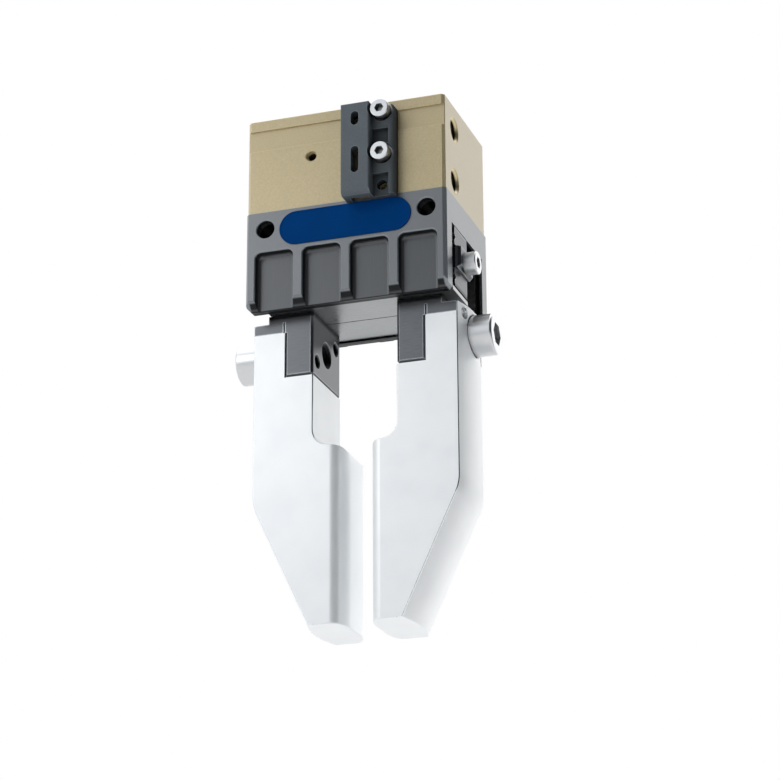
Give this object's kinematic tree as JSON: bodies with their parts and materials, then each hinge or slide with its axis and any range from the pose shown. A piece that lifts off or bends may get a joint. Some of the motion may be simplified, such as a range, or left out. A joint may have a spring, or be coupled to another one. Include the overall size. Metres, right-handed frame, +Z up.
{
  "type": "pneumatic parallel gripper",
  "caption": "Pneumatic parallel gripper hanging from its top face, with opposed sliding jaws driven by an oval piston and wedge hook, bolted-on fingers and a sensor bracket.",
  "frame": {"origin": "middle of the top mounting face, on the piston axis", "axes": "+Z up out of the mounting face, +X towards the right jaw, the front with the badge and sensor bracket faces -Y; the fingers hang towards -Z"},
  "size_m": [0.064, 0.0382, 0.125],
  "materials": {
    "gold_anodised": "satin hard anodised, fine speckle",
    "grey_anodised": "satin anodised",
    "badge_blue": "smooth lacquer",
    "bracket_plastic": "matt moulded",
    "jaw_steel": "brushed, darkened",
    "rail_steel": "ground",
    "finger_metal": "bright polished",
    "screw_steel": "bright",
    "rubber": "matt",
    "bronze": "machined",
    "cage_brass": "sheet",
    "piston_aluminium": "machined",
    "magnet_grey": "ground"
  },
  "bodies": {
    "housing": {"upper_housing": "gold_anodised", "lower_housing": "grey_anodised", "nameplate": "badge_blue", "housing_seal": "rubber", "rod_seal": "rubber", "rod_bush": "bronze", "housing_tie_screws": "screw_steel", "sensor_bracket": "bracket_plastic", "bracket_screws": "screw_steel", "bracket_washers": "screw_steel", "center_guide_plates": "bronze", "guide_strip_front": "rail_steel", "guide_strip_back": "rail_steel"},
    "jaw_right": {"base_jaw_right": "jaw_steel", "cover_strip_right": "rail_steel", "finger_right": "finger_metal", "finger_screw_right": "screw_steel", "dowel_pins_right": "rail_steel", "switch_cam": "jaw_steel", "switch_cam_screw": "screw_steel"},
    "jaw_left": {"base_jaw_left": "jaw_steel", "cover_strip_left": "rail_steel", "finger_left": "finger_metal", "finger_screw_left": "screw_steel", "dowel_pins_left": "rail_steel"},
    "piston_group": {"piston": "piston_aluminium", "piston_seal": "rubber", "piston_magnet": "magnet_grey", "piston_rod": "rail_steel", "wedge_hook": "jaw_steel", "piston_bolt": "screw_steel"},
    "cage_front": {"roller_cage_front": "cage_brass", "rollers_front": "screw_steel"},
    "cage_back": {"roller_cage_back": "cage_brass", "rollers_back": "screw_steel"}
  },
  "joints": [
    {"name": "right_jaw_slide", "type": "slide", "parent": "housing", "child": "jaw_right", "axis": [1, 0, 0], "range_m": [-0.0027, 0.0053]},
    {"name": "left_jaw_slide", "type": "slide", "parent": "housing", "child": "jaw_left", "axis": [-1, 0, 0], "range_m": [-0.0027, 0.0053]},
    {"name": "piston_slide", "type": "slide", "parent": "housing", "child": "piston_group", "axis": [0, 0, 1], "range_m": [-0.0053, 0.0027]},
    {"name": "front_cage_slide", "type": "slide", "parent": "housing", "child": "cage_front", "axis": [1, 0, 0], "range_m": [-0.00135, 0.00265]},
    {"name": "back_cage_slide", "type": "slide", "parent": "housing", "child": "cage_back", "axis": [-1, 0, 0], "range_m": [-0.00135, 0.00265]}
  ],
  "couplings": [
    {"joint": "left_jaw_slide", "follows": "right_jaw_slide", "ratio": 1},
    {"joint": "piston_slide", "follows": "right_jaw_slide", "ratio": -1},
    {"joint": "front_cage_slide", "follows": "right_jaw_slide", "ratio": 0.5},
    {"joint": "back_cage_slide", "follows": "right_jaw_slide", "ratio": 0.5}
  ]
}
